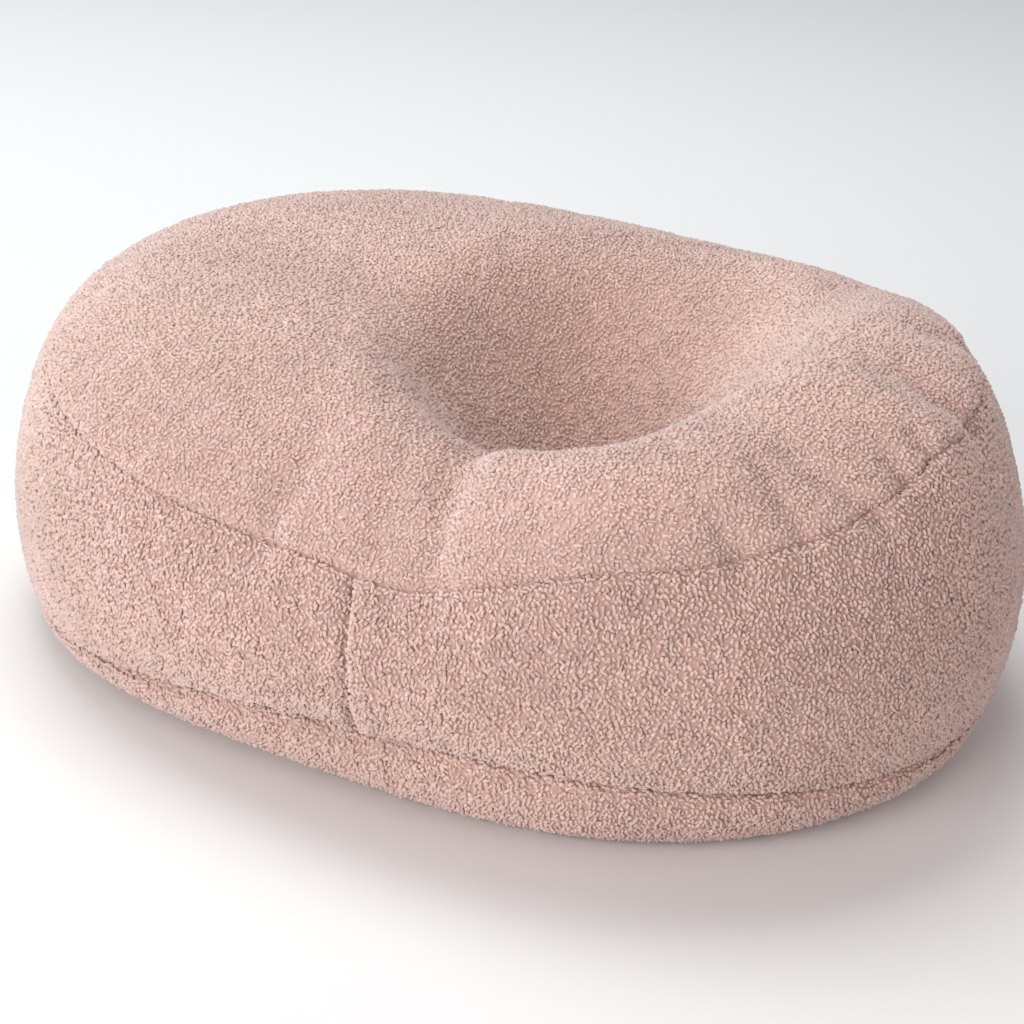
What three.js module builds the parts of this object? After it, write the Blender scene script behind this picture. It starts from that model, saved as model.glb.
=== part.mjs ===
import * as THREE from 'three';

// Throw cushion in teddy fleece, in millimetres, +Z up, standing on Z = 0.
// Top panel, side band and bottom panel are sewn edge to edge round one filling, so they are one solid.
//
// A bearing is an angle in plan, in degrees from the front (-Y) towards the right (+X).
// A section says how far down the cloth a point lies: 0 is the middle of the top panel, 1 the upper
// seam, 2 the lower seam, and 3 the line where the bottom panel meets the floor.

const CLOTH = { colour: 0xd2aaa0, roughness: 0.95 };

// Plan and seam heights round the cushion.
// reach: plan radius of the lower seam. lean: how far the upper seam stands in from it.
// high, low: heights of the two seams. swell: how far the band bellies out between them.
const STATIONS = [
  { bearing: 0, reach: 280, lean: 3, high: 163, low: 55, swell: 24 },
  { bearing: 30, reach: 318, lean: 11, high: 194, low: 43, swell: 24 },
  { bearing: 60, reach: 325, lean: 25, high: 220, low: 32, swell: 22 },
  { bearing: 90, reach: 304, lean: 38, high: 218, low: 36, swell: 16 },
  { bearing: 120, reach: 280, lean: 40, high: 195, low: 48, swell: 18 },
  { bearing: 150, reach: 274, lean: 39, high: 184, low: 55, swell: 22 },
  { bearing: 180, reach: 286, lean: 35, high: 188, low: 53, swell: 24 },
  { bearing: 210, reach: 306, lean: 29, high: 196, low: 40, swell: 24 },
  { bearing: 240, reach: 316, lean: 20, high: 192, low: 24, swell: 20 },
  { bearing: 270, reach: 305, lean: 12, high: 177, low: 18, swell: 14 },
  { bearing: 300, reach: 276, lean: 6, high: 161, low: 29, swell: 16 },
  { bearing: 330, reach: 256, lean: 5, high: 152, low: 49, swell: 22 },
];

// Where the folds beside the dent pull the upper seam down or push it up.
const SEAM_WAVES = [
  { bearing: -13, halfWidth: 8, rise: -7 },
  { bearing: 9, halfWidth: 8, rise: 6 },
  { bearing: 34, halfWidth: 6, rise: -4 },
  { bearing: 50, halfWidth: 4, rise: 6 },
];

// Top panel: its middle level before it crowns, the rise of the crown, the slope at which it meets the
// seam (90 would be upright), and how far in the seam's ups and downs are felt.
const CROWN = { level: 184, rise: 51, edgeSlope: 82, fullness: 0.8, shoulder: 0.95, spread: 1.5 };

// Bottom panel: how far it tucks in before it lies on the floor.
const TUCK = 48;

// The pressed dent: its deepest point in plan, its half widths, the turn of its long axis, its depth,
// how square its plan is (2 is an ellipse), and the powers that flatten its floor and round its rim.
const DENT = {
  x: 58, y: -74, left: 158, right: 104, front: 158, back: 200, turn: -26,
  depth: 118, squareness: 2.3, floor: 2.0, rim: 2.3,
};

// Sewn channels: half width and depth of the draw-in.
const SEAM = { halfWidth: 5, depth: 5.5 };

// The band is two strips, joined by upright seams: the bearings where each starts at the upper seam and
// ends at the lower, and how far it bows between them.
const UPRIGHT_SEAMS = [
  { upper: -18.75, lower: -17.4, bow: 0.9 },
  { upper: 162.86, lower: 162.86, bow: 0 },
];
// Beside an upright seam the turned-in edges lift the cloth.
const TURNED_EDGE = { aside: 2.6, halfWidth: 8, rise: 1.8 };

// Folds, as soft troughs along a path of [bearing, section] points. depth is at the path's start and
// end, and a fold with a negative depth is a soft ridge.
const FOLDS = [
  { path: [[-6.5, 0.44], [-8.2, 0.62], [-8.2, 0.92]], halfWidth: 14, depth: [7.5, 3.5] },
  { path: [[-1, 0.5], [-2.5, 0.68], [-5.5, 0.92]], halfWidth: 20, depth: [-3, -2] },
  { path: [[-34, 0.3], [-12, 0.41]], halfWidth: 22, depth: [-5, -4] },
  { path: [[-112, 0.34], [-75, 0.12]], halfWidth: 60, depth: [7, 12] },
  { path: [[10, 0.62], [26, 0.64]], halfWidth: 36, depth: [-4, -4] },
  { path: [[48, 0.32], [71, 0.37], [100, 0.62]], halfWidth: 28, depth: [18, 6] },
  { path: [[57, 0.58], [59, 0.66], [57.5, 0.78], [60, 1.03]], halfWidth: 11, depth: [3, 7] },
  { path: [[74, 0.68], [79, 1.03]], halfWidth: 13, depth: [4, 7] },
  { path: [[34.4, 0.66], [36, 0.78], [38, 0.93], [39.3, 1.03]], halfWidth: 9, depth: [3, 6.5] },
  { path: [[29.7, 0.66], [30, 0.78], [30.8, 0.95]], halfWidth: 8, depth: [2.5, 4] },
  { path: [[22.3, 0.8], [23, 0.88], [23.7, 1.01]], halfWidth: 9, depth: [2, 5.5] },
  { path: [[-32.4, 0.58], [-31.5, 0.72], [-31.5, 1.0]], halfWidth: 12, depth: [1, 3.5] },
  { path: [[-18.4, 0.56], [-17.3, 0.67], [-16, 0.84]], halfWidth: 11, depth: [1.5, 2.5] },
];

// Rows and columns of the surface grid. Columns stand closer on each side of an upright seam.
const GRID = { topRows: 24, columnStep: 3.75, seamColumns: [-4, -3, -2, -1, 0, 1, 2, 3, 4] };
const BAND_ROWS = [0.03, 0.07, 0.13, 0.22, 0.33, 0.44, 0.56, 0.67, 0.78, 0.87, 0.93, 0.97, 1];
const UNDER_ROWS = [0.08, 0.17, 0.32, 0.52, 0.76, 1];

const rad = THREE.MathUtils.degToRad;
const { lerp } = THREE.MathUtils;

// Smooth closed curve through the stations, by trigonometric interpolation.
function around(column, bearing) {
  const half = STATIONS.length / 2;
  return STATIONS.reduce((sum, station) => {
    const turn = rad(bearing - station.bearing);
    const tangent = Math.tan(turn / 2);
    const weight = Math.abs(tangent) < 1e-9 ? 1 : Math.sin(half * turn) / (2 * half * tangent);
    return sum + station[column] * weight;
  }, 0);
}

function stationAt(bearing) {
  const [reach, lean, high, low, swell] = ['reach', 'lean', 'high', 'low', 'swell']
    .map((column) => around(column, bearing));
  const wave = SEAM_WAVES.reduce((sum, { bearing: middle, halfWidth, rise }) => (
    sum + rise * Math.exp(-(((bearing - middle) / halfWidth) ** 2))
  ), 0);
  return { bearing, reach, upper: reach - lean, high: high + wave, low, swell };
}

function inPlan(bearing, radius, height) {
  return new THREE.Vector3(radius * Math.sin(rad(bearing)), -radius * Math.cos(rad(bearing)), height);
}

// The three stretches of the section, each from 0 to 1, as [radius, height].
function topPanel(station, along) {
  const edge = rad(CROWN.edgeSlope);
  const angle = edge * along;
  const out = (Math.sin(angle) / Math.sin(edge)) ** CROWN.fullness;
  const foot = Math.cos(edge) ** CROWN.shoulder;
  const up = (Math.cos(angle) ** CROWN.shoulder - foot) / (1 - foot);
  const level = lerp(CROWN.level, station.high, out ** CROWN.spread);
  return [station.upper * out, level + CROWN.rise * up];
}

function sideBand(station, along) {
  const belly = station.swell * Math.sin(Math.PI * along) ** 0.9;
  return [lerp(station.upper, station.reach, along) + belly, lerp(station.high, station.low, along)];
}

function bottomPanel(station, along) {
  const angle = (along * Math.PI) / 2;
  return [station.reach - TUCK * (1 - Math.cos(angle)), station.low * (1 - Math.sin(angle))];
}

// The cushion as it is before it is pressed and before its seams draw in.
function plainPoint(station, section) {
  const stretches = [topPanel, sideBand, bottomPanel];
  const part = Math.min(Math.max(Math.ceil(section) - 1, 0), 2);
  const [radius, height] = stretches[part](station, section - part);
  return inPlan(station.bearing, radius, height);
}

// How far the press lowers the top at a place in plan.
function pressAt(x, y) {
  const turn = rad(DENT.turn);
  const across = (x - DENT.x) * Math.cos(turn) + (y - DENT.y) * Math.sin(turn);
  const along = (y - DENT.y) * Math.cos(turn) - (x - DENT.x) * Math.sin(turn);
  const sideways = Math.abs(across) / (across < 0 ? DENT.left : DENT.right);
  const lengthways = Math.abs(along) / (along < 0 ? DENT.front : DENT.back);
  const reach = (sideways ** DENT.squareness + lengthways ** DENT.squareness) ** (1 / DENT.squareness);
  return reach < 1 ? DENT.depth * (1 - reach ** DENT.floor) ** DENT.rim : 0;
}

// Depth of a soft trough at a point, along a line of points whose depth runs from first to last.
function troughAt(point, line, halfWidth, [first, last]) {
  let nearest = Infinity;
  let share = 0;
  for (let i = 0; i + 1 < line.length; i += 1) {
    const stretch = new THREE.Line3(line[i], line[i + 1]);
    const t = stretch.closestPointToPointParameter(point, true);
    const distance = stretch.at(t, new THREE.Vector3()).distanceTo(point);
    if (distance < nearest) {
      nearest = distance;
      share = (i + t) / (line.length - 1);
    }
  }
  return lerp(first, last, share) * Math.exp(-((nearest / halfWidth) ** 2));
}

// Everything that is a line on the cloth, as points on the plain form.
function layLine(path) {
  return path.map(([bearing, section]) => plainPoint(stationAt(bearing), section));
}

function uprightLine({ upper, lower, bow }, aside = 0) {
  const steps = 6;
  const shares = Array.from({ length: steps + 1 }, (_, i) => i / steps);
  const bearings = shares.map((share) => lerp(upper, lower, share) + bow * Math.sin(Math.PI * share));
  return layLine(shares.map((share, i) => [bearings[i] + aside, 1 + share]));
}

const troughs = [
  ...FOLDS.map(({ path, halfWidth, depth }) => ({ line: layLine(path), halfWidth, depth })),
  ...UPRIGHT_SEAMS.map((seam) => ({
    line: uprightLine(seam), halfWidth: SEAM.halfWidth, depth: [SEAM.depth, SEAM.depth],
  })),
  ...UPRIGHT_SEAMS.map((seam) => ({
    line: uprightLine(seam, TURNED_EDGE.aside),
    halfWidth: TURNED_EDGE.halfWidth,
    depth: [-TURNED_EDGE.rise, -TURNED_EDGE.rise],
  })),
];

// How deep the cloth is drawn in at a point of the plain form: two ring seams, then folds and uprights.
function drawIn(station, point) {
  const rings = [1, 2].map((section) => {
    const away = plainPoint(station, section).distanceTo(point);
    return SEAM.depth * Math.exp(-((away / SEAM.halfWidth) ** 2));
  });
  return troughs.reduce(
    (sum, { line, halfWidth, depth }) => sum + troughAt(point, line, halfWidth, depth),
    Math.max(...rings),
  );
}

function columnBearings() {
  const uprights = UPRIGHT_SEAMS.map(({ upper, lower }) => (upper + lower) / 2);
  const [fineFrom, fineTo] = [GRID.seamColumns[0] - 1.5, GRID.seamColumns.at(-1) + 1.5];
  const bearings = [];
  for (let bearing = -180; bearing < 180; bearing += GRID.columnStep) {
    const beside = uprights.some((seam) => bearing > seam + fineFrom && bearing < seam + fineTo);
    if (!beside) bearings.push(bearing);
  }
  uprights.forEach((seam) => GRID.seamColumns.forEach((step) => bearings.push(seam + step)));
  return bearings.sort((a, b) => a - b);
}

function sectionRows() {
  const top = Array.from({ length: GRID.topRows }, (_, i) => (i + 1) / GRID.topRows);
  return [...top, ...BAND_ROWS.map((row) => 1 + row), ...UNDER_ROWS.map((row) => 2 + row)];
}

// Rings of points from the crown down to the floor, closed by a point at the top and one underneath.
function cushionGeometry() {
  const stations = columnBearings().map(stationAt);
  const rows = sectionRows();
  const across = stations.length;
  const crownPoint = new THREE.Vector3(0, 0, CROWN.level + CROWN.rise);
  const plain = [crownPoint];
  rows.forEach((row) => stations.forEach((station) => plain.push(plainPoint(station, row))));
  plain.push(new THREE.Vector3(0, 0, 0));

  const pressed = plain.map((point, i) => {
    const onTop = i <= GRID.topRows * across;
    const drop = onTop ? pressAt(point.x, point.y) : 0;
    return new THREE.Vector3(point.x, point.y, point.z - drop);
  });

  const index = [];
  const at = (row, column) => 1 + row * across + (column % across);
  const last = plain.length - 1;
  for (let column = 0; column < across; column += 1) {
    index.push(0, at(0, column), at(0, column + 1));
    for (let row = 0; row + 1 < rows.length; row += 1) {
      const [a, b] = [at(row, column), at(row, column + 1)];
      const [c, d] = [at(row + 1, column), at(row + 1, column + 1)];
      index.push(a, c, b, b, c, d);
    }
    index.push(at(rows.length - 1, column), last, at(rows.length - 1, column + 1));
  }

  const geometry = new THREE.BufferGeometry().setFromPoints(pressed);
  geometry.setIndex(index);
  geometry.computeVertexNormals();

  // The seams and folds draw the cloth in along its own normal, all but the line on the floor.
  const position = geometry.getAttribute('position');
  const normal = geometry.getAttribute('normal');
  const onFloor = 1 + (rows.length - 1) * across;
  for (let i = 1; i < onFloor; i += 1) {
    const depth = drawIn(stations[(i - 1) % across], plain[i]);
    position.setXYZ(
      i,
      position.getX(i) - depth * normal.getX(i),
      position.getY(i) - depth * normal.getY(i),
      Math.max(position.getZ(i) - depth * normal.getZ(i), 0),
    );
  }

  // The origin is the middle of the footprint's box.
  geometry.computeBoundingBox();
  const middle = geometry.boundingBox.getCenter(new THREE.Vector3());
  geometry.translate(-middle.x, -middle.y, 0);
  geometry.computeVertexNormals();
  return geometry;
}

const { colour, roughness } = CLOTH;
const fleece = new THREE.MeshStandardMaterial({ color: colour, roughness, metalness: 0 });
const cushion = new THREE.Mesh(cushionGeometry(), fleece);
cushion.name = 'cushion';

const group = new THREE.Group();
group.add(cushion);

export default group;
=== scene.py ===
import math

import bpy
import numpy as np
from mathutils import Matrix, Vector
from mathutils.kdtree import KDTree


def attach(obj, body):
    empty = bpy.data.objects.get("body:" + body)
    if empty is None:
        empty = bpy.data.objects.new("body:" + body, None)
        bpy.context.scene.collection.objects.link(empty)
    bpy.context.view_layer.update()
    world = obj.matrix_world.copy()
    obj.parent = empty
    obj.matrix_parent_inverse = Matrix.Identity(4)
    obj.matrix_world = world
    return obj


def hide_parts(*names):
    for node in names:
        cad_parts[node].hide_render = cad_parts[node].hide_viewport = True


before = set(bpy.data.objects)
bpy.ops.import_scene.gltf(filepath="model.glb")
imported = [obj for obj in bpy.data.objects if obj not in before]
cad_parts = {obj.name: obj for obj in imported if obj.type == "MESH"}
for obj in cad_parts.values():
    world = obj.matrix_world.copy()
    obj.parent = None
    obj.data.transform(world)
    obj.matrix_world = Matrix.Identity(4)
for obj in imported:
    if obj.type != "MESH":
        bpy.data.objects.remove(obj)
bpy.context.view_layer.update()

# Throw cushion in teddy fleece. The form is worked out in millimetres and turned into metres by mm.
# Bearings are degrees in plan from the front (-Y) towards the right (+X). A section runs down the cloth:
# 0 middle of the top panel, 1 upper seam, 2 lower seam, 3 the line where the cushion meets the floor.
mm = 0.001

# Stations round the cushion. reach: plan radius of the lower seam. lean: how far the upper seam stands in
# from it. high, low: heights of the two seams. swell: how far the band bellies out between them.
stationColumns = ("bearing", "reach", "lean", "high", "low", "swell")
stations = [
    (0, 280, 3, 163, 55, 24),
    (30, 318, 11, 194, 43, 24),
    (60, 325, 25, 220, 32, 22),
    (90, 304, 38, 218, 36, 16),
    (120, 280, 40, 195, 48, 18),
    (150, 274, 39, 184, 55, 22),
    (180, 286, 35, 188, 53, 24),
    (210, 306, 29, 196, 40, 24),
    (240, 316, 20, 192, 24, 20),
    (270, 305, 12, 177, 18, 14),
    (300, 276, 6, 161, 29, 16),
    (330, 256, 5, 152, 49, 22),
]

# bearing, half width and rise of each place where the folds beside the dent move the upper seam
seamWaves = [
    (-13, 8, -7),
    (9, 8, 6),
    (34, 6, -4),
    (50, 4, 6),
]

# level and rise: height of the middle of the top panel without its crown, and of the crown. edgeSlope: slope
# of the panel at its seam. fullness, shoulder, spread and belly: powers that round the panel and the band.
# tuck: how far the foot turns in. resting: the section past which the cloth lies on the floor.
form = {
    "level": 184, "rise": 51, "edgeSlope": 82, "fullness": 0.8, "shoulder": 0.95, "spread": 1.5,
    "belly": 0.9, "tuck": 48, "resting": 2.98,
}
# the pressed dent: deepest point in plan, half widths, turn of its long axis, depth, and its powers
dent = {
    "x": 58, "y": -74, "left": 158, "right": 104, "front": 158, "back": 200, "turn": -26,
    "depth": 118, "squareness": 2.3, "floor": 2.0, "rim": 2.3,
}
# a seam's channel, and how far from its line no pile grows
seams = {
    "upper": {"halfWidth": 2.3, "depth": 2.3, "bare": 0.3},
    "lower": {"halfWidth": 2.6, "depth": 6.5, "bare": 1.3},
    "upright": {"halfWidth": 2.5, "depth": 5.5, "bare": 1.2},
}
# the band's two joins: bearings at the upper and lower seam, and how far the join bows between them
uprightSeams = [
    {"upper": -18.75, "lower": -17.4, "bow": 0.9},
    {"upper": 162.86, "lower": 162.86, "bow": 0},
]
# beside a join the turned-in edges lift the cloth
turnedEdge = {"aside": 2.6, "halfWidth": 8, "rise": 1.8}

# Soft troughs: a path of (bearing, section) points, the half width, and the depth at its two ends.
# A fold with a negative depth is a soft ridge.
folds = [
    (((-6.5, 0.44), (-8.2, 0.62), (-8.2, 0.92)), 14, (7.5, 3.5)),
    (((-1, 0.5), (-2.5, 0.68), (-5.5, 0.92)), 20, (-3, -2)),
    (((-34, 0.3), (-12, 0.41)), 22, (-5, -4)),
    (((-112, 0.34), (-75, 0.12)), 60, (7, 12)),
    (((10, 0.62), (26, 0.64)), 36, (-4, -4)),
    (((48, 0.32), (71, 0.37), (100, 0.62)), 28, (18, 6)),
    (((57, 0.58), (59, 0.66), (57.5, 0.78), (60, 1.03)), 11, (3, 7)),
    (((74, 0.68), (79, 1.03)), 13, (4, 7)),
    (((34.4, 0.66), (36, 0.78), (38, 0.93), (39.3, 1.03)), 9, (3, 6.5)),
    (((29.7, 0.66), (30, 0.78), (30.8, 0.95)), 8, (2.5, 4)),
    (((22.3, 0.8), (23, 0.88), (23.7, 1.01)), 9, (2, 5.5)),
    (((48.2, 0.82), (48.3, 0.97)), 6, (3, 5)),
    (((43.4, 0.84), (44, 0.97)), 6, (3, 5)),
    (((-32.4, 0.58), (-31.5, 0.72), (-31.5, 1.0)), 12, (1, 3.5)),
    (((-29, 0.88), (-28.6, 1.05)), 9, (-1, -2)),
    (((-18.4, 0.56), (-17.3, 0.67), (-16, 0.84)), 11, (1.5, 2.5)),
]

# rows of the cloth's grid. slide: how far from a join its columns run with it, in degrees
grid = {"rings": 84, "bandRows": 58, "underRows": 20, "floorRows": 6, "slide": 12, "joinSteps": 6}
tiny = 1e-9


def around(column, bearing):
    # smooth closed curve through the stations
    half = len(stations) / 2
    place = stationColumns.index(column)
    total = np.zeros_like(bearing)
    for row in stations:
        turn = np.radians(bearing - row[0])
        tangent = np.tan(turn / 2)
        flat = np.abs(tangent) < tiny
        weight = np.where(flat, 1, np.sin(half * turn) / (2 * half * np.where(flat, 1, tangent)))
        total = total + row[place] * weight
    return total


def between(low, high, share):
    return low + (high - low) * share


def plainForm(bearing, section):
    # points of the unpressed cushion, in mm
    bearing = np.asarray(bearing, float) + 0 * np.asarray(section, float)
    section = np.asarray(section, float) + 0 * bearing
    reach = around("reach", bearing)
    upper = reach - around("lean", bearing)
    high, low = around("high", bearing), around("low", bearing)
    swell = around("swell", bearing)
    for middle, halfWidth, rise in seamWaves:
        away = (bearing - middle + 180) % 360 - 180
        high = high + rise * np.exp(-((away / halfWidth) ** 2))

    edge = math.radians(form["edgeSlope"])
    foot = math.cos(edge) ** form["shoulder"]
    angle = edge * np.clip(section, 0, 1)
    out = (np.sin(angle) / math.sin(edge)) ** form["fullness"]
    crown = form["rise"] * (np.cos(angle) ** form["shoulder"] - foot) / (1 - foot)
    topRadius = upper * out
    topHeight = between(form["level"], high, out ** form["spread"]) + crown

    along = np.clip(section - 1, 0, 1)
    belly = np.clip(np.sin(np.pi * along), 0, 1) ** form["belly"]
    sideRadius = between(upper, reach, along) + swell * belly
    sideHeight = between(high, low, along)

    roll = np.clip(section - 2, 0, 1) * math.pi / 2
    underRadius = reach - form["tuck"] * (1 - np.cos(roll))
    underHeight = low * (1 - np.sin(roll))
    inward = np.clip(section - 3, 0, 1)  # past the floor line, in to the middle

    radius = np.where(section <= 1, topRadius, np.where(section <= 2, sideRadius, underRadius))
    radius = radius * (1 - inward)
    height = np.where(section <= 1, topHeight, np.where(section <= 2, sideHeight, underHeight))
    turn = np.radians(bearing)
    return np.stack([radius * np.sin(turn), -radius * np.cos(turn), height], -1)


def pressed(points, onTop):
    # the same points with the dent pressed in
    turn = math.radians(dent["turn"])
    x, y = points[..., 0] - dent["x"], points[..., 1] - dent["y"]
    across = x * math.cos(turn) + y * math.sin(turn)
    along = y * math.cos(turn) - x * math.sin(turn)
    sideways = np.abs(across) / np.where(across < 0, dent["left"], dent["right"])
    lengthways = np.abs(along) / np.where(along < 0, dent["front"], dent["back"])
    power = dent["squareness"]
    reach = np.clip((sideways ** power + lengthways ** power) ** (1 / power), 0, 1)
    drop = dent["depth"] * (1 - reach ** dent["floor"]) ** dent["rim"]
    result = points.copy()
    result[..., 2] -= np.where(onTop, drop, 0)
    return result


def layLine(path):
    bearings, sections = np.array(path, float).T
    return plainForm(bearings, sections)


def troughAt(points, line, halfWidth, depth):
    # depth at each point of a soft trough along a line
    nearest = np.full(len(points), np.inf)
    share = np.zeros(len(points))
    for i in range(len(line) - 1):
        start, stretch = line[i], line[i + 1] - line[i]
        t = np.clip((points - start) @ stretch / (stretch @ stretch), 0, 1)
        distance = np.linalg.norm(points - start - t[:, None] * stretch, axis=1)
        closer = distance < nearest
        nearest[closer] = distance[closer]
        share[closer] = (i + t[closer]) / (len(line) - 1)
    return between(depth[0], depth[1], share) * np.exp(-((nearest / halfWidth) ** 2))


def uprightBearing(upright, share):
    bow = upright["bow"] * math.sin(math.pi * share)
    return between(upright["upper"], upright["lower"], share) + bow


def uprightLine(upright, aside=0):
    shares = np.linspace(0, 1, grid["joinSteps"] + 1)
    return layLine([(uprightBearing(upright, s) + aside, 1 + s) for s in shares])


def foldDepth(points):
    total = np.zeros(len(points))
    for path, halfWidth, depth in folds:
        total += troughAt(points, layLine(path), halfWidth, depth)
    for upright in uprightSeams:
        line = uprightLine(upright, turnedEdge["aside"])
        rise = -turnedEdge["rise"]
        total += troughAt(points, line, turnedEdge["halfWidth"], (rise, rise))
    return total


def seamLines(points, bearing):
    # how far each point is from the bare line of each seam, and how deep the seams draw it in
    ways, depths = [], []
    for name, section in (("upper", 1), ("lower", 2)):
        size = seams[name]
        line = plainForm(bearing, np.full(len(points), section))
        away = np.linalg.norm(points - line, axis=1)
        ways.append(away - size["bare"])
        depths.append(size["depth"] * np.exp(-((away / size["halfWidth"]) ** 2)))
    size = seams["upright"]
    for upright in uprightSeams:
        share = troughAt(points, uprightLine(upright), size["halfWidth"], (1, 1))
        away = size["halfWidth"] * np.sqrt(-np.log(np.maximum(share, tiny)))
        ways.append(away - size["bare"])
        depths.append(size["depth"] * share)
    return np.array(ways), np.array(depths).max(0)


def topRings(rings, bearing, section, faces):
    # square rings, each with eight more points than the one inside it, so the quads stay even
    starts = [0]
    for ring in range(1, rings + 1):
        starts.append(len(bearing))
        count = 8 * ring
        bearing += [360 * i / count for i in range(count)]
        section += [ring / rings] * count
    for ring in range(1, rings):
        inner, outer = starts[ring], starts[ring + 1]
        nIn, nOut = 8 * ring, 8 * (ring + 1)
        for side in range(4):
            first, last = 2 * side * ring, 2 * side * (ring + 1)
            for j in range(2 * ring):
                a = inner + (first + j) % nIn
                b = inner + (first + j + 1) % nIn
                o = outer + (last + j + 1) % nOut
                p = outer + (last + j + 2) % nOut
                faces.append((a, o, p, b))
            corner = [outer + (last + k) % nOut for k in (-1, 0, 1)]
            faces.append((inner + first % nIn, *corner))
    for side in range(4):
        first = starts[1] + 2 * side
        faces.append((0, first, first + 1, starts[1] + (2 * side + 2) % 8))
    return starts[rings], 8 * rings


def slid(bearing, section):
    # the columns beside an upright seam run with it
    for upright in uprightSeams:
        away = (bearing - upright["upper"] + 180) % 360 - 180
        move = uprightBearing(upright, min(max(section - 1, 0), 1)) - upright["upper"]
        bearing += move * math.exp(-((away / grid["slide"]) ** 2))
    return bearing


def clothGrid():
    bearing, section, faces = [0.0], [0.0], []
    last, count = topRings(grid["rings"], bearing, section, faces)
    rows = [1 + (i + 1) / grid["bandRows"] for i in range(grid["bandRows"])]
    rows += [2 + (i + 1) / grid["underRows"] for i in range(grid["underRows"])]
    rows += [3 + (i + 1) / grid["floorRows"] for i in range(grid["floorRows"] - 1)]
    for row in rows:
        start = len(bearing)
        bearing += [slid(360 * i / count, row) for i in range(count)]
        section += [row] * count
        for i in range(count):
            j = (i + 1) % count
            faces.append((last + i, start + i, start + j, last + j))
        last = start
    middle = len(bearing)
    bearing.append(0.0)
    section.append(4.0)
    for i in range(count):
        faces.append((last + i, middle, last + (i + 1) % count))
    return np.array(bearing), np.array(section), faces


def meshFrom(name, points, faces):
    mesh = bpy.data.meshes.new(name)
    mesh.from_pydata(points.tolist(), [], faces)
    mesh.update()
    mesh.shade_smooth()
    piece = bpy.data.objects.new(name, mesh)
    bpy.context.scene.collection.objects.link(piece)
    return piece


def coordinates(mesh):
    flat = np.zeros(len(mesh.vertices) * 3, np.float32)
    mesh.vertices.foreach_get("co", flat)
    return flat.reshape(-1, 3).astype(float)


def moveTo(mesh, points):
    mesh.vertices.foreach_set("co", points.astype(np.float32).ravel())
    mesh.update()


def vertexNormals(mesh):
    flat = np.zeros(len(mesh.vertices) * 3, np.float32)
    mesh.vertices.foreach_get("normal", flat)
    return flat.reshape(-1, 3).astype(float)


def storeOnPoints(mesh, name, values):
    kind = "FLOAT_VECTOR" if values.ndim == 2 else "FLOAT"
    field = "vector" if values.ndim == 2 else "value"
    layer = mesh.attributes.new(name, kind, "POINT")
    layer.data.foreach_set(field, values.astype(np.float32).ravel())


# one curl of the pile, a small rounded ridge that lies along X, in mm
curl = {"length": 5.6, "width": 3.1, "ridge": 2.4, "high": 1.7, "sunk": 1.1, "pointed": 0.72}
curlPoints = 6

# The pile is flatter on the top panel than on the band. spacing and clear: least way between curls, and
# least height above the floor. beside: how near a seam the pile turns along it. spin, tilt: how far a curl
# turns and leans at random. paintedShadeLevel: painted shade on the cloth under the pile, its place on the
# colour ramp, lighter on the top panel as painted light from above.
pile = {
    "spacing": 2.05, "density": 400000, "clear": 0.3, "beside": 5, "plainShade": 0.5,
    "seed": 5, "sizeSeed": 11, "liftSeed": 23, "shadeSeed": 37, "layStep": 0.01, "footEnd": 2.96,
    "top": {"spin": 80, "tilt": 13, "small": 0.64, "large": 1.07, "lift": 0.5, "paintedShadeLevel": 0.36},
    "band": {"spin": 56, "tilt": 21, "small": 0.6, "large": 1.12, "lift": 0.75, "paintedShadeLevel": 0.26},
}

# The filling presses the cover out between the seams, the dent and the floor.
# smaller: how much smaller the cover starts, all of it above the height full.
# held, floorHeld, dentHeld: how far the hold of a seam, the floor and the dent reaches. restHeld: the
# section past which the cloth is held whole. cap: the furthest that a point may move.
cloth = {
    "smaller": 2.4, "full": 20, "voxel": 7, "pressure": 4, "frames": 20, "cap": 4, "extra": 0.006,
    "held": 9, "floorHeld": 12, "dentHeld": 12, "restHeld": 2.9, "neighbours": 4,
    "quality": 5, "mass": 0.3, "stretch": 40, "bend": 2,
}


def heldShares(points, plain, bearing, section):
    # 1 on the floor, in the dent and along the seams, 0 well away from them
    held = np.exp(-((points[:, 2] / cloth["floorHeld"]) ** 2))
    drop = plain[:, 2] - pressed(plain, section <= 1)[:, 2]
    held = np.maximum(held, 1 - np.exp(-((drop / cloth["dentHeld"]) ** 2)))
    for row in (1, 2):
        line = plainForm(bearing, np.full(len(points), row))
        away = np.linalg.norm(plain - line, axis=1)
        held = np.maximum(held, np.exp(-((away / cloth["held"]) ** 2)))
    return np.where(section > cloth["restHeld"], 1, held)


def nearestMix(tree, points, count):
    # the nearest points of the tree, and a weight for each
    found = np.zeros((len(points), count), int)
    weight = np.zeros((len(points), count))
    for i, point in enumerate(points):
        for k, (where, index, distance) in enumerate(tree.find_n(point, count)):
            found[i, k] = index
            weight[i, k] = 1 / (distance + 1e-4)
    return found, weight / weight.sum(1, keepdims=True)


def treeOf(points):
    tree = KDTree(len(points))
    for i, point in enumerate(points):
        tree.insert(point, i)
    tree.balance()
    return tree


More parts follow.
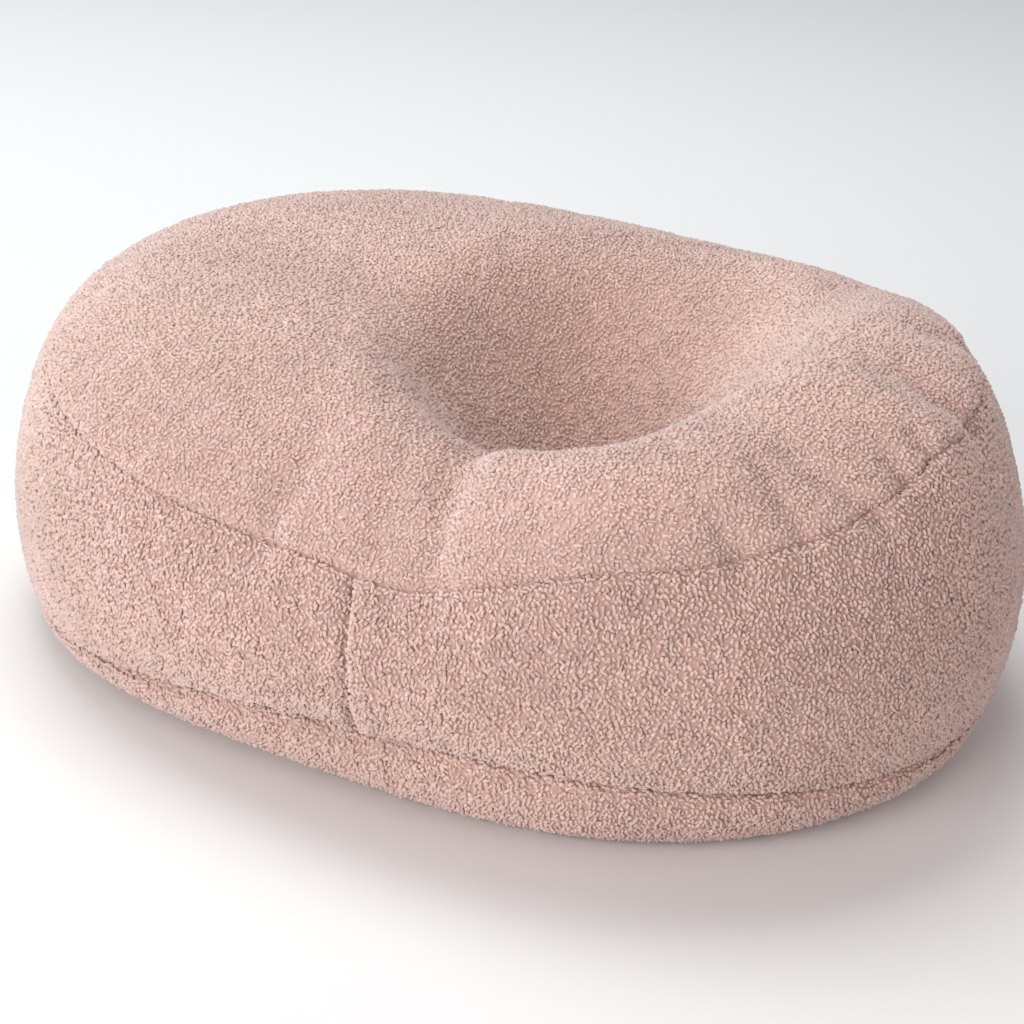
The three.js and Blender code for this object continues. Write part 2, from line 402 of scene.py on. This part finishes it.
def inflated(mesh, held):
    # the move of each point of the mesh when the cover is filled, in metres
    start = coordinates(mesh)
    pad = bpy.data.objects.new("pad", mesh.copy())
    bpy.context.scene.collection.objects.link(pad)
    bpy.context.view_layer.objects.active = pad
    pad.select_set(True)
    remesh = pad.modifiers.new("remesh", "REMESH")
    remesh.mode = "VOXEL"
    remesh.voxel_size = cloth["voxel"] * mm
    bpy.ops.object.modifier_apply(modifier=remesh.name)
    rest = coordinates(pad.data)
    found, weight = nearestMix(treeOf(start), rest, 1)
    group = pad.vertex_groups.new(name="held")
    for i, share in enumerate(held[found[:, 0]]):
        group.add([i], float(share), "REPLACE")
    fill = pad.modifiers.new("filling", "CLOTH")
    fill.settings.quality = cloth["quality"]
    fill.settings.mass = cloth["mass"]
    fill.settings.tension_stiffness = cloth["stretch"]
    fill.settings.compression_stiffness = cloth["stretch"]
    fill.settings.bending_stiffness = cloth["bend"]
    fill.settings.use_pressure = True
    fill.settings.uniform_pressure_force = cloth["pressure"]
    fill.settings.shrink_min = -cloth["extra"]
    fill.settings.vertex_group_mass = "held"
    fill.settings.effector_weights.gravity = 0
    fill.collision_settings.use_collision = False
    fill.point_cache.frame_end = cloth["frames"]
    for step in range(1, cloth["frames"] + 1):
        bpy.context.scene.frame_set(step)
    graph = bpy.context.evaluated_depsgraph_get()
    moved = coordinates(pad.evaluated_get(graph).data) - rest
    bpy.context.scene.frame_set(1)
    length = np.linalg.norm(moved, axis=1)
    print("filling moved the cover", np.round(np.percentile(length / mm, (50, 90, 100)), 1), "mm")
    cap = cloth["cap"] * mm
    moved = moved * (cap * np.tanh(length / cap) / np.maximum(length, tiny))[:, None]
    found, weight = nearestMix(treeOf(rest), start, cloth["neighbours"])
    bpy.data.objects.remove(pad)
    return (moved[found] * weight[:, :, None]).sum(1)


def buildCushion():
    bearing, section, faces = clothGrid()
    resting = section >= form["resting"]
    plain = plainForm(bearing, section)
    points = pressed(plain, section <= 1)
    middle = (points.min(0) + points.max(0)) / 2
    shift = np.array([-middle[0], -middle[1], 0])
    piece = meshFrom("fleeceCushion", points * mm, faces)
    # the pile and the filling both take room, so the cover starts smaller
    depth = foldDepth(plain) + cloth["smaller"] * np.clip(points[:, 2] / cloth["full"], 0, 1)
    depth[resting] = 0
    points = points - vertexNormals(piece.data) * depth[:, None]
    moveTo(piece.data, points * mm)
    held = heldShares(points, plain, bearing, section)
    points = points + inflated(piece.data, held) / mm
    moveTo(piece.data, points * mm)
    # the seams are drawn in once the cover is filled
    ways, depth = seamLines(plain, bearing)
    depth[resting] = 0
    points = points - vertexNormals(piece.data) * depth[:, None]
    points[:, 2] = np.where(resting, 0, np.maximum(points[:, 2], 0))
    moveTo(piece.data, (points + shift) * mm)
    # the pile is combed down the cloth, and along a seam beside it
    down = plainForm(bearing, section + pile["layStep"]) - plain
    down[0] = (0, -1, 0)
    down = down / np.maximum(np.linalg.norm(down, axis=1), 1e-6)[:, None]
    turn = np.radians(bearing)
    roundWay = np.stack([np.cos(turn), np.sin(turn), 0 * turn], -1)
    beside = np.exp(-((ways[:2].min(0) / pile["beside"]) ** 2))[:, None]
    storeOnPoints(piece.data, "lay", down * (1 - beside) + roundWay * beside)
    storeOnPoints(piece.data, "section", section)
    storeOnPoints(piece.data, "seamAway", ways.min(0) * mm)
    # painted shade: the cloth between the curls sits low on the colour ramp, as deep in the pile's shade,
    # less low on the top panel
    paintedShadeLevel = np.where(section <= 1, pile["top"]["paintedShadeLevel"], pile["band"]["paintedShadeLevel"])
    storeOnPoints(piece.data, "rise", paintedShadeLevel)
    storeOnPoints(piece.data, "shade", np.full(len(bearing), pile["plainShade"]))
    return piece


cushion = buildCushion()
print("cushion", len(cushion.data.polygons), "faces")


def buildCurl():
    half, wide, ridge = curl["length"] / 2, curl["width"] / 2, curl["ridge"] / 2
    inner = half * curl["pointed"]
    points = [
        (-ridge, 0, curl["high"]), (ridge, 0, curl["high"]),
        (-inner, -wide, -curl["sunk"]), (inner, -wide, -curl["sunk"]),
        (inner, wide, -curl["sunk"]), (-inner, wide, -curl["sunk"]),
    ]
    faces = [(0, 2, 3, 1), (0, 1, 4, 5), (0, 5, 2), (1, 3, 4), (2, 5, 4, 3)]
    piece = meshFrom("curl", np.array(points) * mm, faces)
    # painted shade: the ridge of each curl is 1 and its foot 0, so the colour darkens towards the foot
    storeOnPoints(piece.data, "rise", np.array([1, 1, 0, 0, 0, 0]))
    return piece


def link(tree, start, output, end, socket):
    tree.links.new(start.outputs[output], end.inputs[socket])


def node(tree, kind, **settings):
    made = tree.nodes.new(kind)
    for name, value in settings.items():
        setattr(made, name, value)
    return made


def mathNode(tree, operation, first, second):
    made = node(tree, "ShaderNodeMath", operation=operation)
    for place, value in enumerate((first, second)):
        if isinstance(value, (int, float)):
            made.inputs[place].default_value = value
        else:
            tree.links.new(value, made.inputs[place])
    return made.outputs[0]


def attribute(tree, name, kind="FLOAT"):
    made = node(tree, "GeometryNodeInputNamedAttribute", data_type=kind)
    made.inputs["Name"].default_value = name
    return made.outputs["Attribute"]


def pileTree():
    # curls scattered over the cloth, each turned, leant, sized, lifted and shaded at random
    tree = bpy.data.node_groups.new("curledPile", "GeometryNodeTree")
    sockets = {}
    for name, kind in (
        ("Cloth", "Geometry"), ("Curl", "Object"), ("Material", "Material"), ("Spacing", "Float"),
        ("Seed", "Int"), ("Section From", "Float"), ("Section To", "Float"), ("Left", "Float"),
        ("Right", "Float"), ("Spin", "Float"), ("Tilt", "Float"), ("Small", "Float"),
        ("Large", "Float"), ("Lift", "Float"), ("Clear", "Float"),
    ):
        sockets[name] = tree.interface.new_socket(name, in_out="INPUT", socket_type="NodeSocket" + kind)
    tree.interface.new_socket("Pile", in_out="OUTPUT", socket_type="NodeSocketGeometry")
    given = node(tree, "NodeGroupInput")
    result = node(tree, "NodeGroupOutput")

    scatter = node(tree, "GeometryNodeDistributePointsOnFaces", distribute_method="POISSON")
    link(tree, given, "Cloth", scatter, "Mesh")
    link(tree, given, "Spacing", scatter, "Distance Min")
    link(tree, given, "Seed", scatter, "Seed")
    scatter.inputs["Density Max"].default_value = pile["density"]

    # the part of the cloth that this piece covers
    section = attribute(tree, "section")
    place = node(tree, "GeometryNodeInputPosition")
    parts = node(tree, "ShaderNodeSeparateXYZ")
    link(tree, place, "Position", parts, "Vector")
    tests = [
        (section, "GREATER_THAN", given.outputs["Section From"]),
        (section, "LESS_THAN", given.outputs["Section To"]),
        (parts.outputs["X"], "GREATER_THAN", given.outputs["Left"]),
        (parts.outputs["X"], "LESS_THAN", given.outputs["Right"]),
        (attribute(tree, "seamAway"), "GREATER_THAN", 0.0),
    ]
    inside = 1.0
    for value, operation, limit in tests:
        inside = mathNode(tree, "MULTIPLY", inside, mathNode(tree, operation, value, limit))
    kept = node(tree, "GeometryNodeSeparateGeometry", domain="POINT")
    link(tree, scatter, "Points", kept, "Geometry")
    tree.links.new(inside, kept.inputs["Selection"])

    # stand on the cloth, lie along it, then turn and lean at random
    along = node(tree, "FunctionNodeAlignRotationToVector", axis="X", pivot_axis="Z")
    link(tree, scatter, "Rotation", along, "Rotation")
    tree.links.new(attribute(tree, "lay", "FLOAT_VECTOR"), along.inputs["Vector"])
    reach = node(tree, "ShaderNodeCombineXYZ")
    link(tree, given, "Tilt", reach, "X")
    link(tree, given, "Tilt", reach, "Y")
    link(tree, given, "Spin", reach, "Z")
    back = node(tree, "ShaderNodeVectorMath", operation="SCALE")
    back.inputs["Scale"].default_value = -1
    link(tree, reach, "Vector", back, "Vector")
    lean = node(tree, "FunctionNodeRandomValue", data_type="FLOAT_VECTOR")
    tree.links.new(back.outputs["Vector"], lean.inputs[0])
    tree.links.new(reach.outputs["Vector"], lean.inputs[1])
    link(tree, given, "Seed", lean, "Seed")
    turn = node(tree, "FunctionNodeEulerToRotation")
    tree.links.new(lean.outputs[0], turn.inputs["Euler"])
    turned = node(tree, "FunctionNodeRotateRotation", rotation_space="LOCAL")
    link(tree, along, "Rotation", turned, "Rotation")
    link(tree, turn, "Rotation", turned, "Rotate By")

    size = node(tree, "FunctionNodeRandomValue", data_type="FLOAT_VECTOR")
    for end, name in enumerate(("Small", "Large")):
        triple = node(tree, "ShaderNodeCombineXYZ")
        for axis in "XYZ":
            link(tree, given, name, triple, axis)
        tree.links.new(triple.outputs["Vector"], size.inputs[end])
    size.inputs["Seed"].default_value = pile["sizeSeed"]

    curls = node(tree, "GeometryNodeObjectInfo")
    link(tree, given, "Curl", curls, "Object")
    grown = node(tree, "GeometryNodeInstanceOnPoints")
    link(tree, kept, "Selection", grown, "Points")
    link(tree, curls, "Geometry", grown, "Instance")
    link(tree, turned, "Rotation", grown, "Rotation")
    tree.links.new(size.outputs[0], grown.inputs["Scale"])

    # each curl has its own height and its own shade
    lift = node(tree, "FunctionNodeRandomValue", data_type="FLOAT")
    lift.inputs[2].default_value = 0
    link(tree, given, "Lift", lift, 3)
    lift.inputs["Seed"].default_value = pile["liftSeed"]
    raised = node(tree, "GeometryNodeTranslateInstances")
    height = node(tree, "ShaderNodeCombineXYZ")
    tree.links.new(lift.outputs[1], height.inputs["Z"])
    link(tree, grown, "Instances", raised, "Instances")
    link(tree, height, "Vector", raised, "Translation")
    shade = node(tree, "FunctionNodeRandomValue", data_type="FLOAT")
    shade.inputs["Seed"].default_value = pile["shadeSeed"]
    shaded = node(tree, "GeometryNodeStoreNamedAttribute", data_type="FLOAT", domain="INSTANCE")
    shaded.inputs["Name"].default_value = "shade"
    link(tree, raised, "Instances", shaded, "Geometry")
    tree.links.new(shade.outputs[1], shaded.inputs["Value"])

    real = node(tree, "GeometryNodeRealizeInstances")
    link(tree, shaded, "Geometry", real, "Geometry")
    # no curl goes below the floor
    where = node(tree, "GeometryNodeInputPosition")
    split = node(tree, "ShaderNodeSeparateXYZ")
    link(tree, where, "Position", split, "Vector")
    joined = node(tree, "ShaderNodeCombineXYZ")
    link(tree, split, "X", joined, "X")
    link(tree, split, "Y", joined, "Y")
    above = mathNode(tree, "MAXIMUM", split.outputs["Z"], given.outputs["Clear"])
    tree.links.new(above, joined.inputs["Z"])
    lifted = node(tree, "GeometryNodeSetPosition")
    link(tree, real, "Geometry", lifted, "Geometry")
    link(tree, joined, "Vector", lifted, "Position")
    finish = node(tree, "GeometryNodeSetMaterial")
    link(tree, lifted, "Geometry", finish, "Geometry")
    link(tree, given, "Material", finish, "Material")
    link(tree, finish, "Geometry", result, "Pile")
    return tree, {name: socket.identifier for name, socket in sockets.items()}


def curlMap(mesh):
    # each curl has its own square of the map, with its sides, its two ends and its underside laid out in it
    corners = [
        (0.25, 0.45), (0.1, 0.1), (0.9, 0.1), (0.75, 0.45),
        (0.25, 0.55), (0.75, 0.55), (0.9, 0.9), (0.1, 0.9),
        (0.2, 0.5), (0.05, 0.85), (0.05, 0.15), (0.8, 0.5), (0.95, 0.15), (0.95, 0.85),
        (0.4, 0.48), (0.4, 0.52), (0.6, 0.52), (0.6, 0.48),
    ]
    total = len(mesh.vertices) // curlPoints
    side = math.ceil(math.sqrt(total))
    cell = np.arange(total)
    start = np.stack([cell % side, cell // side], 1)
    uv = (start[:, None, :] + np.array(corners)[None, :, :]) / side
    layer = mesh.uv_layers.new(name="OFBake")
    layer.data.foreach_set("uv", uv.astype(np.float32).ravel())


def growPile(tree, sockets, name, material, curlPiece, kind, **limits):
    look = pile[kind]
    piece = bpy.data.objects.new(name, cushion.data)
    bpy.context.scene.collection.objects.link(piece)
    modifier = piece.modifiers.new("pile", "NODES")
    modifier.node_group = tree
    values = {
        "Curl": curlPiece, "Material": material, "Spacing": pile["spacing"] * mm, "Seed": pile["seed"],
        "Section From": limits.get("start", 0.0), "Section To": limits.get("end", 3.0),
        "Left": limits.get("left", -1.0), "Right": limits.get("right", 1.0),
        "Spin": math.radians(look["spin"]), "Tilt": math.radians(look["tilt"]),
        "Small": look["small"], "Large": look["large"], "Lift": look["lift"] * mm,
        "Clear": pile["clear"] * mm,
    }
    for key, value in values.items():
        modifier[sockets[key]] = value
    graph = bpy.context.evaluated_depsgraph_get()
    mesh = bpy.data.meshes.new_from_object(piece.evaluated_get(graph), depsgraph=graph)
    piece.modifiers.remove(modifier)
    piece.data = mesh
    mesh.name = name
    curlMap(mesh)
    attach(piece, "root")
    print(name, len(mesh.vertices) // curlPoints, "curls")


# Colours from the tips of the pile down to its gaps, darker down the pile as painted shade. Each pair is a
# share and what is added to it.
fleece = {
    "tip": (0.90, 0.68, 0.62), "body": (0.80, 0.555, 0.487), "gapShade": (0.42, 0.235, 0.19),
    "gapShadeUpTo": 0.05, "bodyAt": 0.5,
    "fibreScale": 1300, "fibreDetail": 2, "patchScale": 14, "patchDetail": 3, "bump": 0.0006,
    "fibreStrength": (0.5, -0.25), "patchStrength": (0.3, 0.78), "ownStrength": (0.2, 0.9),
    "roughness": 0.95, "specular": 0.1,
    "sheen": 0.8, "sheenRoughness": 0.45, "sheenTint": (1.0, 0.9, 0.87),
}


def shareOf(tree, value, pair):
    made = mathNode(tree, "MULTIPLY_ADD", value, pair[0])
    made.node.inputs[2].default_value = pair[1]
    return made


def noise(tree, place, scale, detail):
    made = node(tree, "ShaderNodeTexNoise")
    made.inputs["Scale"].default_value = scale
    made.inputs["Detail"].default_value = detail
    link(tree, place, "Object", made, "Vector")
    return made


def fleeceMaterial():
    material = bpy.data.materials.new("teddyFleece")
    material.use_nodes = True
    tree = material.node_tree
    shader = tree.nodes["Principled BSDF"]
    shader.inputs["Roughness"].default_value = fleece["roughness"]
    shader.inputs["Specular IOR Level"].default_value = fleece["specular"]
    shader.inputs["Sheen Weight"].default_value = fleece["sheen"]
    shader.inputs["Sheen Roughness"].default_value = fleece["sheenRoughness"]
    shader.inputs["Sheen Tint"].default_value = (*fleece["sheenTint"], 1)

    place = node(tree, "ShaderNodeTexCoord")
    fibres = noise(tree, place, fleece["fibreScale"], fleece["fibreDetail"])
    patches = noise(tree, place, fleece["patchScale"], fleece["patchDetail"])

    # painted shade: the ramp darkens from the tip colour on the ridges of the curls to the gap colour at
    # their feet and on the cloth between them
    rise = node(tree, "ShaderNodeAttribute", attribute_name="rise")
    shade = node(tree, "ShaderNodeAttribute", attribute_name="shade")
    fibre = shareOf(tree, fibres.outputs["Fac"], fleece["fibreStrength"])
    level = mathNode(tree, "ADD", rise.outputs["Fac"], fibre)
    colour = node(tree, "ShaderNodeValToRGB")
    ramp = colour.color_ramp
    ramp.elements[0].position = fleece["gapShadeUpTo"]
    ramp.elements[0].color = (*fleece["gapShade"], 1)
    ramp.elements[1].position = 1
    ramp.elements[1].color = (*fleece["tip"], 1)
    middle = ramp.elements.new(fleece["bodyAt"])
    middle.color = (*fleece["body"], 1)
    tree.links.new(level, colour.inputs["Fac"])

    # soft patches, and a shade for each curl
    patch = shareOf(tree, patches.outputs["Fac"], fleece["patchStrength"])
    own = shareOf(tree, shade.outputs["Fac"], fleece["ownStrength"])
    strength = mathNode(tree, "MULTIPLY", patch, own)
    tinted = node(tree, "ShaderNodeVectorMath", operation="SCALE")
    link(tree, colour, "Color", tinted, 0)
    tree.links.new(strength, tinted.inputs["Scale"])
    link(tree, tinted, "Vector", shader, "Base Color")

    bump = node(tree, "ShaderNodeBump")
    bump.inputs["Strength"].default_value = 1
    bump.inputs["Distance"].default_value = fleece["bump"]
    link(tree, fibres, "Fac", bump, "Height")
    link(tree, bump, "Normal", shader, "Normal")
    return material


material = fleeceMaterial()
cushion.data.materials.append(material)
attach(cushion, "root")
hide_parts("cushion")

curlPiece = buildCurl()
tree, sockets = pileTree()
common = (tree, sockets)
growPile(*common, "pileTopLeft", material, curlPiece, "top", end=1.0, right=0.0)
growPile(*common, "pileTopRight", material, curlPiece, "top", end=1.0, left=0.0)
growPile(*common, "pileBandLeft", material, curlPiece, "band", start=1.0, end=2.0, right=0.0)
growPile(*common, "pileBandRight", material, curlPiece, "band", start=1.0, end=2.0, left=0.0)
growPile(*common, "pileFoot", material, curlPiece, "band", start=2.0, end=pile["footEnd"])
bpy.data.objects.remove(curlPiece)

# the photograph's view
view = {
    "target": (4.6, -56.8, 107), "distance": 1479, "elevation": 25, "roll": 3, "lens": 85, "sensor": 36,
}


def setCamera():
    rise = math.radians(view["elevation"])
    back = Vector((0, -math.cos(rise), math.sin(rise)))
    right = Vector((1, 0, 0))
    up = Vector((0, math.sin(rise), math.cos(rise)))
    roll = math.radians(view["roll"])
    across = right * math.cos(roll) + up * math.sin(roll)
    upright = up * math.cos(roll) - right * math.sin(roll)
    place = (Vector(view["target"]) + back * view["distance"]) * mm
    data = bpy.data.cameras.new("view")
    data.lens = view["lens"]
    data.sensor_width = view["sensor"]
    camera = bpy.data.objects.new("view", data)
    bpy.context.scene.collection.objects.link(camera)
    turn = Matrix((across, upright, back)).transposed().to_4x4()
    camera.matrix_world = Matrix.Translation(place) @ turn
    bpy.context.scene.camera = camera


# soft studio light, in metres and watts, over a plain pale floor
studio = {
    "floorHalf": 8, "floorGrey": 0.86, "floorRoughness": 0.9, "lightSize": 1.6, "aim": (0, 0, 0.1),
    "sky": (1, 1, 1), "skyStrength": 0.32,
}
lights = {
    "overhead": {"place": (-0.5, 0.8, 2.5), "power": 41, "colour": (0.96, 0.99, 1)},
    "side": {"place": (-2.2, 1.0, 1.1), "power": 17, "colour": (0.8, 0.96, 1)},
    "front": {"place": (-1.4, -2.0, 0.9), "power": 44, "colour": (1, 0.95, 0.94)},
    "right": {"place": (1.9, -1.3, 1.0), "power": 10, "colour": (1, 0.86, 0.86)},
}


def addFloor():
    mesh = bpy.data.meshes.new("floor")
    half, grey = studio["floorHalf"], studio["floorGrey"]
    corners = [(-half, -half, 0), (half, -half, 0), (half, half, 0), (-half, half, 0)]
    mesh.from_pydata(corners, [], [(0, 1, 2, 3)])
    floor = bpy.data.objects.new("floor", mesh)
    bpy.context.scene.collection.objects.link(floor)
    material = bpy.data.materials.new("paleFloor")
    material.use_nodes = True
    shader = material.node_tree.nodes["Principled BSDF"]
    shader.inputs["Base Color"].default_value = (grey, grey, grey, 1)
    shader.inputs["Roughness"].default_value = studio["floorRoughness"]
    mesh.materials.append(material)


def addLight(name, place, power, colour):
    data = bpy.data.lights.new(name, "AREA")
    data.shape = "SQUARE"
    data.size = studio["lightSize"]
    data.energy = power
    data.color = colour
    light = bpy.data.objects.new(name, data)
    light.location = place
    aim = Vector(studio["aim"]) - Vector(place)
    light.rotation_euler = aim.to_track_quat("-Z", "Y").to_euler()
    bpy.context.scene.collection.objects.link(light)


def addSky():
    world = bpy.data.worlds.new("studio")
    world.use_nodes = True
    sky = world.node_tree.nodes["Background"]
    sky.inputs["Color"].default_value = (*studio["sky"], 1)
    sky.inputs["Strength"].default_value = studio["skyStrength"]
    bpy.context.scene.world = world
    bpy.context.scene.view_settings.view_transform = "Standard"


setCamera()
addFloor()
for name, look in lights.items():
    addLight(name, **look)
addSky()
print("camera, floor and", len(lights), "lights")
